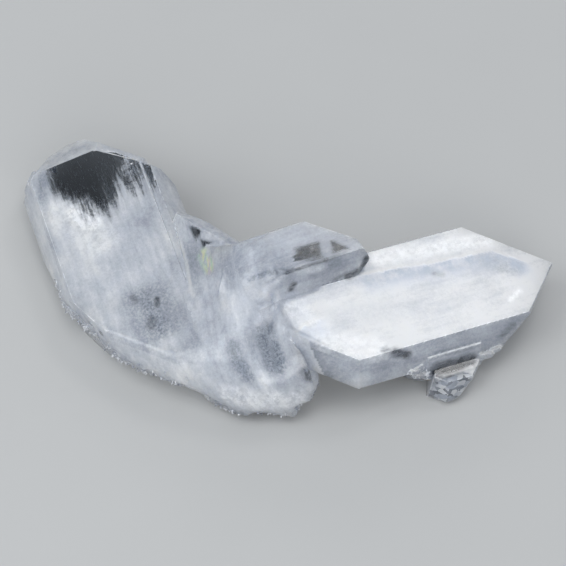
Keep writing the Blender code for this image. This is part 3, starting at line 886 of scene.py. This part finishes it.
def mark_sharp_edges_and_highlights(mesh):
    """Mark the sharp edges, and give how bright the painted highlight of the sharpest one is at each point.
    """
    sharp, turns = sharp_edges(mesh, SHARP_TURN)
    mesh.attributes.new("sharp_edge", "BOOLEAN", "EDGE").data.foreach_set("value", sharp)
    bright = np.clip(turns[sharp] / BRIGHT_TURN, LEAST_EDGE_HIGHLIGHT, 1.0)
    edge_highlight = np.zeros(len(mesh.vertices))
    np.maximum.at(edge_highlight, edge_array(mesh)[sharp].ravel(), np.repeat(bright, 2))
    return edge_highlight


def raise_relief(mesh, growth, broken, chipped, strength):
    """Move the surface out and in by its relief, and give the rough places flat facets."""
    places, normals = mesh_arrays(mesh)
    relief = GROWTH_RELIEF * (cloud_noise(growth * (0.5, 1.0, 1.0), GROWTH_GRAIN, seed=3) - 0.5)
    relief += BROKEN_RELIEF * broken * (cloud_noise(places, BROKEN_GRAIN, seed=5, octaves=3) - 0.5)
    relief += CHIPPED_RELIEF * chipped * (cloud_noise(places, CHIPPED_GRAIN, seed=7, octaves=3) - 0.5)
    moved = places + normals * relief[:, None] * strength
    moved[:, 2] = np.maximum(moved[:, 2], CAD_LOW[2] / MM)
    mesh.vertices.foreach_set("co", (moved * MM).ravel())
    corners = np.empty(len(mesh.polygons) * 3, dtype=np.int32)
    mesh.polygons.foreach_get("vertices", corners)
    rough = np.maximum(chipped, 0.8 * broken)[corners.reshape(-1, 3)].mean(axis=1) > FACETS_FROM
    mesh.polygons.foreach_set("use_smooth", ~rough)


def window_darkness(places, growth, depth):
    """Painted dark of the clear windows with straight sides at each point, for the shade seen through them,
    broken up by fine flaws.
    """
    flaws = ease(cloud_noise(growth * (0.6, 1.2, 1.0), 1.4, seed=19, octaves=3), 0.40, 0.54)
    framed = owned_by(places, *{name for name, corners, comb in CLEAR_WINDOWS})
    return (0.4 + 0.6 * flaws) * np.clip(depth, 0.0, 1.0) * framed


def finish_body(item, settings):
    """Growth relief on the faces, and the values that the material reads."""
    mesh = item.data
    soften(mesh)
    edge_highlight = mark_sharp_edges_and_highlights(mesh)
    places, normals = mesh_arrays(mesh)
    growth = growth_places(places)
    chipped = mark_value(places, CHIPPED_MARKS)
    broken = np.zeros(len(places))
    for line in BROKEN_EDGES:
        broken = np.maximum(broken, 1.0 - ease(line_distance(places, line), *BROKEN_REACH))
    raise_relief(mesh, growth, broken, chipped, settings.relief)

    depth, comb = clear_depth(places, normals)
    # Faces on the near, steep side of the right tablet, which get painted shade.
    near_side_shade = ease(1.0 - abs(normals @ crystal_axes("right")[2]), *SIDE_TURN) * (normals[:, 1] < 0.0)
    shade, line = inner_shade(places)
    store(mesh, "growth", growth, "FLOAT_VECTOR")
    # Painted highlight on the sharp edges, left off where the dull marks lie.
    store(mesh, "edge_highlight", edge_highlight * (1.0 - mark_value(places, DULL_MARKS)))
    store(mesh, "clear", depth)
    store(mesh, "comb", comb)
    # Less milk on the right tablet's near side: clearer there, and darker as painted shade.
    store(mesh, "milk", milkiness(places) - SIDE_CLEAR_AND_SHADE * owned_by(places, "right") * near_side_shade)
    store(mesh, "tone", mark_value(places, CLOUD_AND_LIGHT_MARKS))
    store(mesh, "dark", np.maximum(mark_value(places, DARK_MARKS), window_darkness(places, growth, depth)))
    # Painted shade in front of the inner edges; the next value adds their painted bright line to the glint
    # marks.
    store(mesh, "shade", shade)
    store(mesh, "line", np.maximum(line, mark_value(places, GLINT_MARKS)))
    store(mesh, "film", mark_value(places, FILM_MARKS))
    store(mesh, "chipped", np.maximum(chipped, 0.4 * broken))
    mesh.update()


def surface_tree(item):
    """Search tree over a piece's surface, in millimetres."""
    mesh = item.data
    mesh.calc_loop_triangles()
    places = mesh_arrays(mesh)[0]
    corners = np.empty(len(mesh.loop_triangles) * 3, dtype=np.int32)
    mesh.loop_triangles.foreach_get("vertices", corners)
    return BVHTree.FromPolygons(places.tolist(), corners.reshape(-1, 3).tolist())


def crossings_above(tree, start):
    """Heights at which a line straight up from a point passes through the surface."""
    heights = []
    while True:
        spot = tree.ray_cast(start, UP)[0]
        if spot is None:
            return heights
        heights.append(spot.z)
        start = spot + UP * RAY_STEP


def kept_inside(points, tree, margin):
    """Which points lie inside the surface by at least the margin."""
    kept = np.zeros(len(points), dtype=bool)
    for index, point in enumerate(points):
        within = len(crossings_above(tree, Vector(point))) % 2 == 1
        kept[index] = within and tree.find_nearest(Vector(point))[3] >= margin
    return kept


def slivers(middles, directions, lengths, widths, random):
    """Thin flat four-sided slivers, as points and faces."""
    count = len(middles)
    directions = directions / np.linalg.norm(directions, axis=1)[:, None]
    spare = random.normal(size=(count, 3))
    side = np.cross(directions, spare)
    side /= np.linalg.norm(side, axis=1)[:, None]
    half = directions * lengths[:, None] / 2
    flank = side * widths[:, None] / 2
    shift = half * random.uniform(-0.4, 0.4, size=(count, 1))
    corners = (middles - half, middles + shift + flank, middles + half, middles + shift - flank)
    faces = np.arange(count * 4).reshape(-1, 4)
    return np.stack(corners, axis=1).reshape(-1, 3), faces


def surface_net(field, start, step):
    """Closed surface where a field on an even grid passes zero, as points and four-sided faces."""
    inside = field > 0.0
    cells = tuple(size - 1 for size in field.shape)
    total = np.zeros(cells + (3,))
    count = np.zeros(cells)
    for axis in range(3):
        others = [other for other in range(3) if other != axis]
        for shift in np.ndindex(2, 2):
            low, high = [None] * 3, [None] * 3
            place = np.zeros(3)
            for other, value in zip(others, shift):
                low[other] = high[other] = slice(value, value + cells[other])
                place[other] = value
            low[axis] = slice(0, cells[axis])
            high[axis] = slice(1, cells[axis] + 1)
            first, second = field[tuple(low)], field[tuple(high)]
            crossed = (first > 0.0) != (second > 0.0)
            part = np.where(crossed, first / np.where(crossed, first - second, 1.0), 0.0)
            spot = np.broadcast_to(place, cells + (3,)).copy()
            spot[..., axis] += part
            total += spot * crossed[..., None]
            count += crossed
    active = count > 0
    index = np.full(cells, -1, dtype=np.int64)
    index[active] = np.arange(active.sum())
    points = (np.argwhere(active) + total[active] / count[active][:, None]) * step + start
    faces = []
    for axis in range(3):
        first, second = (axis + 1) % 3, (axis + 2) % 3
        ahead = np.roll(inside, -1, axis=axis)
        crossed = inside != ahead
        edge = [slice(None)] * 3
        edge[axis] = slice(-1, None)
        crossed[tuple(edge)] = False
        for side in (first, second):
            for place in (slice(0, 1), slice(-1, None)):
                edge = [slice(None)] * 3
                edge[side] = place
                crossed[tuple(edge)] = False
        spots = np.argwhere(crossed)
        ring = []
        for back_first, back_second in ((0, 0), (1, 0), (1, 1), (0, 1)):
            cell = spots.copy()
            cell[:, first] -= back_first
            cell[:, second] -= back_second
            ring.append(index[tuple(cell.T)])
        ring = np.array(ring).T
        outward = inside[tuple(spots.T)]
        ring[~outward] = ring[~outward][:, ::-1]
        faces.append(ring)
    return points, np.concatenate(faces)


def depth_grid(tree, step):
    """Depth under the surface on an even grid, negative outside: grid, start and the points inside."""
    low = np.array(CAD_LOW) / MM - step * 2.5
    high = np.array(CAD_HIGH) / MM + step * 2.5
    shape = np.ceil((high - low) / step).astype(int)
    places = np.stack(np.meshgrid(*[np.arange(size) for size in shape], indexing="ij"), axis=-1) * step + low
    depth = np.full(tuple(shape), -step)
    for column in np.ndindex(shape[0], shape[1]):
        spot = places[column][0]
        crossings = crossings_above(tree, Vector((spot[0], spot[1], low[2] - 1.0)))
        for bottom, top in zip(crossings[::2], crossings[1::2]):
            heights = places[column][:, 2]
            for level in np.nonzero((heights > bottom) & (heights < top))[0]:
                depth[column][level] = tree.find_nearest(Vector(places[column][level]))[3]
    return depth, low, places


def milk_piece(depth, start, places, step):
    """The cloudy milk under the clear skin of the crystals, as one closed mesh."""
    depth = depth.copy()
    inside = depth > 0.0
    spots = places[inside]
    growth = growth_places(spots)
    clear = combed(*clear_depth(spots), growth)
    clouds = cloud_noise(growth * (0.6, 1.0, 1.0), 2.6, seed=71)
    owner = nearest_crystal(spots)
    skin = np.array([SKIN_DEPTH[name] for name in CRYSTALS])[owner]
    field = depth[inside] - skin * (0.35 + 1.6 * clouds)
    depth[inside] = np.minimum(field, -clear)
    points, faces = surface_net(depth, start, step)
    return new_piece("milk_clouds", points, faces, smooth=True)


def fibre_piece(name, crystals, body, depth, start, step, seed):
    """Fine milky fibres under the skin of some crystals, combed along each of them."""
    random = np.random.default_rng(seed)
    places, normals = mesh_arrays(body.data)
    owner = nearest_crystal(places)
    names = list(CRYSTALS)
    areas = np.empty(len(body.data.polygons))
    body.data.polygons.foreach_get("area", areas)
    point_area = areas.sum() / MM ** 2 / len(places)
    parts = []
    for crystal in crystals:
        here = np.nonzero(owner == names.index(crystal))[0]
        count = int(len(here) * point_area * FIBRE_DENSITY[crystal])
        chosen = random.choice(here, count)
        below = FIBRE_DEPTH[0] + FIBRE_DEPTH[1] * random.uniform(size=count) ** 1.5
        scatter = random.normal(size=(count, 3)) * FIBRE_SCATTER
        middles = places[chosen] + scatter - normals[chosen] * below[:, None]
        growth = growth_places(middles)
        haze = ease(-combed(*clear_depth(middles), growth), -1.6, 1.4)
        clouds = cloud_noise(growth * (0.3, 1.0, 1.0), 2.0, seed=91)
        keep = random.uniform(size=count) < haze * ease(clouds, 0.25, 0.65)
        middles = middles[keep]
        count = len(middles)
        directions = crystal_axes(crystal)[0] + random.normal(size=(count, 3)) * FIBRE_WANDER
        lengths = random.uniform(0.3, 1.0, count) ** 1.3 * FIBRE_LENGTH
        widths = random.uniform(*FIBRE_WIDTH, count)
        kept = np.ones(count, dtype=bool)
        for end in (-0.5, 0.5):
            spot = middles + directions * lengths[:, None] * end
            cell = np.clip(np.rint((spot - start) / step).astype(int), 0, np.array(depth.shape) - 1)
            kept &= depth[tuple(cell.T)] > FIBRE_COVER
        parts.append([values[kept] for values in (middles, directions, lengths, widths)])
    fibres = [np.concatenate(column) for column in zip(*parts)]
    if len(fibres[0]) > FIBRE_LIMIT:
        chosen = random.permutation(len(fibres[0]))[:FIBRE_LIMIT]
        fibres = [values[chosen] for values in fibres]
    return new_piece(name, *slivers(*fibres, random))


def cloud_material():
    """Soft milk inside the quartz."""
    s = Shader("milk")
    place = s.object_place()
    tint = s.ramp(s.noise(place, 350.0, 4.0), INSIDE_COLOURS)
    normal = s.bump(s.noise(place, 1500.0, 4.0), 0.5, 0.0001)
    return s.set(Base_Color=tint, Roughness=0.6, Normal=normal, Subsurface_Weight=0.6,
                 Subsurface_Radius=MILK_SPREAD, Subsurface_Scale=0.003)


def fleck_piece(tree, settings):
    """All fine fractures as one piece of slivers inside the crystals."""
    random = np.random.default_rng(41)
    points = []
    faces = []
    offset = 0
    for name, place, spread, count, length, width, follow in FLECK_CLOUDS:
        count = int(count * settings.fleck_share)
        axes = crystal_axes(name)
        local = np.array((place[0], place[1], CRYSTALS[name][2] - place[2]))
        middles = from_crystal(local + random.normal(size=(count, 3)) * np.array(spread), name)
        middles = middles[kept_inside(middles, tree, FLECK_COVER)]
        wander = random.normal(size=(len(middles), 3)) * (1.0 - follow)
        directions = axes[0] * follow + wander
        lengths = length * random.uniform(0.3, 1.0, len(middles)) ** 1.5
        widths = width * random.uniform(0.3, 1.0, len(middles))
        half = directions * lengths[:, None] / 2
        ends = np.concatenate((middles + half, middles - half))
        good = kept_inside(ends, tree, FLECK_END_COVER).reshape(2, -1).all(axis=0)
        made, quads = slivers(middles[good], directions[good], lengths[good], widths[good], random)
        points.append(made)
        faces.append(quads + offset)
        offset += len(made)
    return new_piece("fine_fractures", np.concatenate(points), np.concatenate(faces))


def small_crystals(middles, directions, lengths, widths, random):
    """Six-sided crystals with pointed ends, as points and triangles."""
    points, faces = [], []
    for middle, direction, length, width in zip(middles, directions, lengths, widths):
        axis = Vector(direction).normalized()
        side = axis.orthogonal().normalized()
        other = axis.cross(side)
        turn = random.uniform(0.0, math.tau)
        first = len(points)
        for end in (-1.0, 1.0):
            for corner in range(6):
                angle = turn + math.tau * corner / 6
                out = side * math.cos(angle) + other * math.sin(angle)
                points.append(Vector(middle) + axis * end * length * GRIT_SHOULDER + out * width / 2)
        points.append(Vector(middle) - axis * length / 2)
        points.append(Vector(middle) + axis * length / 2)
        for corner in range(6):
            following = (corner + 1) % 6
            faces.append((first + corner, first + following, first + 6 + following))
            faces.append((first + corner, first + 6 + following, first + 6 + corner))
            faces.append((first + 12, first + following, first + corner))
            faces.append((first + 13, first + 6 + corner, first + 6 + following))
    return points, faces


def grit_piece(tree, settings):
    """Small crystals grown on the broken lower edges, as one piece."""
    random = np.random.default_rng(57)
    middles, directions = [], []
    for line in BROKEN_EDGES:
        line = [np.array(corner) for corner in line]
        for start, end in zip(line, line[1:]):
            for _ in range(int(settings.grit_per_mm * np.linalg.norm(end - start))):
                spot = start + (end - start) * random.uniform() + random.normal(size=3) * GRIT_SPREAD
                near, normal, _, away = tree.find_nearest(Vector(spot))
                if near.z < GRIT_LOWEST or away > GRIT_REACH:
                    continue
                middles.append(np.array(near))
                directions.append(np.array(normal) + random.normal(size=3) * GRIT_LEAN)
    lengths = random.uniform(*GRIT_LENGTH, len(middles))
    widths = random.uniform(*GRIT_WIDTH, len(middles))
    points, faces = small_crystals(middles, directions, lengths, widths, random)
    return new_piece("edge_grit", [tuple(point) for point in points], faces)


def grit_material(settings):
    """Clear to milky quartz of the small crystals."""
    s = Shader("grit")
    place = s.object_place()
    level = s.noise(place, 500.0, 3.0)
    tint = s.ramp(level, [(0.35, tuple(settings.milk_colour)), (0.65, GRIT_COLOUR)])
    through = s.spread(level, 0.35, 0.65, 0.8, 0.3)
    rough = s.spread(s.noise(place, 2500.0, 2.0), 0.3, 0.7, 0.04, 0.2)
    return s.set(Base_Color=tint, Transmission_Weight=through, Roughness=rough, IOR=QUARTZ_IOR)


class QuartzSettings(bpy.types.PropertyGroup):
    """Sizes and colours of the crystals."""

    grain_size: bpy.props.FloatProperty(
        name="Surface grain", description="Distance between the points of the fine surface",
        default=0.00061, min=0.0002, max=0.002, precision=5, unit="LENGTH")
    relief: bpy.props.FloatProperty(
        name="Relief", description="Strength of the growth relief on the faces", default=1.0,
        min=0.0, max=4.0)
    cloud_size: bpy.props.FloatProperty(
        name="Cloud grain", description="Distance between the points of the milk inside", default=0.0005,
        min=0.0003, max=0.002, precision=5, unit="LENGTH")
    fleck_share: bpy.props.FloatProperty(
        name="Fractures", description="Share of the fine fractures that is made", default=1.0,
        min=0.0, max=4.0)
    grit_per_mm: bpy.props.FloatProperty(
        name="Grit", description="Small crystals for each millimetre of broken edge", default=5.0,
        min=0.0, max=30.0)
    milk_strength: bpy.props.FloatProperty(
        name="Milkiness", description="Share of light that the thinnest milk scatters", default=0.36,
        min=0.0, max=1.0, subtype="FACTOR")
    # The thin milk colour also tints the painted shade on the right tablet's near side.
    shade_colour: bpy.props.FloatVectorProperty(
        name="Thin milk colour", description="Colour where the milk is thin", default=(0.40, 0.435, 0.50),
        min=0.0, max=1.0, subtype="COLOR")
    milk_colour: bpy.props.FloatVectorProperty(
        name="Milk colour", description="Colour of the milky quartz", default=(0.745, 0.775, 0.84),
        min=0.0, max=1.0, subtype="COLOR")
    bright_colour: bpy.props.FloatVectorProperty(
        name="Dense milk colour", description="Colour where the milk is dense", default=(0.97, 0.98, 1.0),
        min=0.0, max=1.0, subtype="COLOR")
    # Dark, so that it paints the shade seen through the clear quartz.
    clear_shade_colour: bpy.props.FloatVectorProperty(
        name="Clear colour", description="Colour of the clear quartz", default=(0.17, 0.19, 0.21),
        min=0.0, max=1.0, subtype="COLOR")
    floor_colour: bpy.props.FloatVectorProperty(
        name="Floor colour", description="Colour of the studio floor", default=(0.56, 0.56, 0.55),
        min=0.0, max=1.0, subtype="COLOR")


class QUARTZ_OT_body(bpy.types.Operator):
    """Make the crystals' surface"""

    bl_idname = "quartz.body"
    bl_label = "Crystals"

    def execute(self, context):
        settings = context.scene.quartz
        item = body_mesh(settings)
        finish_body(item, settings)
        own(item, quartz_material(settings), NODE)
        return {"FINISHED"}


class QUARTZ_OT_inside(bpy.types.Operator):
    """Make the milk, the fibres and the fine fractures inside the crystals"""

    bl_idname = "quartz.inside"
    bl_label = "Milk and fractures"

    def execute(self, context):
        settings = context.scene.quartz
        body = bpy.data.objects["quartz_body"]
        tree = surface_tree(body)
        step = settings.cloud_size / MM
        depth, start, places = depth_grid(tree, step)
        own(milk_piece(depth, start, places, step), cloud_material())
        fleck = fleck_material()
        own(fibre_piece("left_fibres", ("left", "fan", "fan_right"), body, depth, start, step, 5), fleck)
        own(fibre_piece("right_fibres", ("right", "upper"), body, depth, start, step, 6), fleck)
        own(fleck_piece(tree, settings), fleck)
        return {"FINISHED"}


class QUARTZ_OT_grit(bpy.types.Operator):
    """Make the small crystals on the broken edges"""

    bl_idname = "quartz.grit"
    bl_label = "Edge grit"

    def execute(self, context):
        settings = context.scene.quartz
        tree = surface_tree(bpy.data.objects["quartz_body"])
        own(grit_piece(tree, settings), grit_material(settings))
        return {"FINISHED"}


def area_light(name, place, aim, size, power, colour):
    """Soft light at a place, turned to the aim."""
    light = bpy.data.lights.new(name, "AREA")
    light.shape = "RECTANGLE"
    light.size, light.size_y = size
    light.energy = power
    light.color = colour
    item = link(name, light)
    item.location = place
    item.rotation_euler = (aim - place).to_track_quat("-Z", "Y").to_euler()


class QUARTZ_OT_stage(bpy.types.Operator):
    """Make the floor, the lights and the camera"""

    bl_idname = "quartz.stage"
    bl_label = "Studio"

    def execute(self, context):
        settings = context.scene.quartz
        bpy.ops.mesh.primitive_plane_add(size=FLOOR_SIZE, location=(0.0, 0.0, 0.0))
        floor = context.active_object
        floor.name = "floor"
        s = Shader("floor")
        tint = s.ramp(s.noise(s.object_place(), 30.0, 2.0), [
            (0.3, tuple(settings.floor_colour)),
            (0.7, tuple(channel * 1.02 for channel in settings.floor_colour)),
        ])
        floor.data.materials.append(s.set(Base_Color=tint, Roughness=0.75, Specular_IOR_Level=0.3))
        floor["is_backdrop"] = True

        aim = Vector(VIEW_AIM)
        for name, place, size, power, colour in LIGHTS:
            area_light(name, aim + place, aim, size, power, colour)
        world = bpy.data.worlds.new("studio")
        context.scene.world = world
        world.use_nodes = True
        back = world.node_tree.nodes["Background"]
        back.inputs["Color"].default_value = SKY_COLOUR
        back.inputs["Strength"].default_value = SKY_STRENGTH
        context.scene.view_settings.view_transform = "Standard"

        camera = bpy.data.cameras.new("camera")
        camera.sensor_width = SENSOR_WIDTH
        camera.lens = SENSOR_WIDTH * VIEW_DISTANCE / PICTURE_WIDTH
        camera.clip_start = 0.01
        item = link("camera", camera)
        back_off = Vector((0.0, -math.cos(VIEW_HEIGHT), math.sin(VIEW_HEIGHT)))
        item.location = aim + back_off * VIEW_DISTANCE
        item.rotation_euler = (math.pi / 2 - VIEW_HEIGHT, 0.0, 0.0)
        context.scene.camera = item
        return {"FINISHED"}


OPERATORS = (QUARTZ_OT_body, QUARTZ_OT_inside, QUARTZ_OT_grit, QUARTZ_OT_stage)


class QUARTZ_PT_panel(bpy.types.Panel):
    """Sizes and buttons for each part of the cluster"""

    bl_label = "Quartz cluster"
    bl_space_type = "VIEW_3D"
    bl_region_type = "UI"
    bl_category = "Quartz"

    def draw(self, context):
        for name in QuartzSettings.__annotations__:
            self.layout.prop(context.scene.quartz, name)
        for operator in OPERATORS:
            self.layout.operator(operator.bl_idname)


CLASSES = (QuartzSettings, *OPERATORS, QUARTZ_PT_panel)


def register():
    """Add the settings, the operators and the panel."""
    for item in CLASSES:
        bpy.utils.register_class(item)
    bpy.types.Scene.quartz = bpy.props.PointerProperty(type=QuartzSettings)


def unregister():
    """Take them out again."""
    del bpy.types.Scene.quartz
    for item in reversed(CLASSES):
        bpy.utils.unregister_class(item)


def main():
    """Make every piece and the studio."""
    register()
    bpy.ops.quartz.body()
    bpy.ops.quartz.inside()
    bpy.ops.quartz.grit()
    bpy.ops.quartz.stage()


if __name__ == "__main__":
    main()
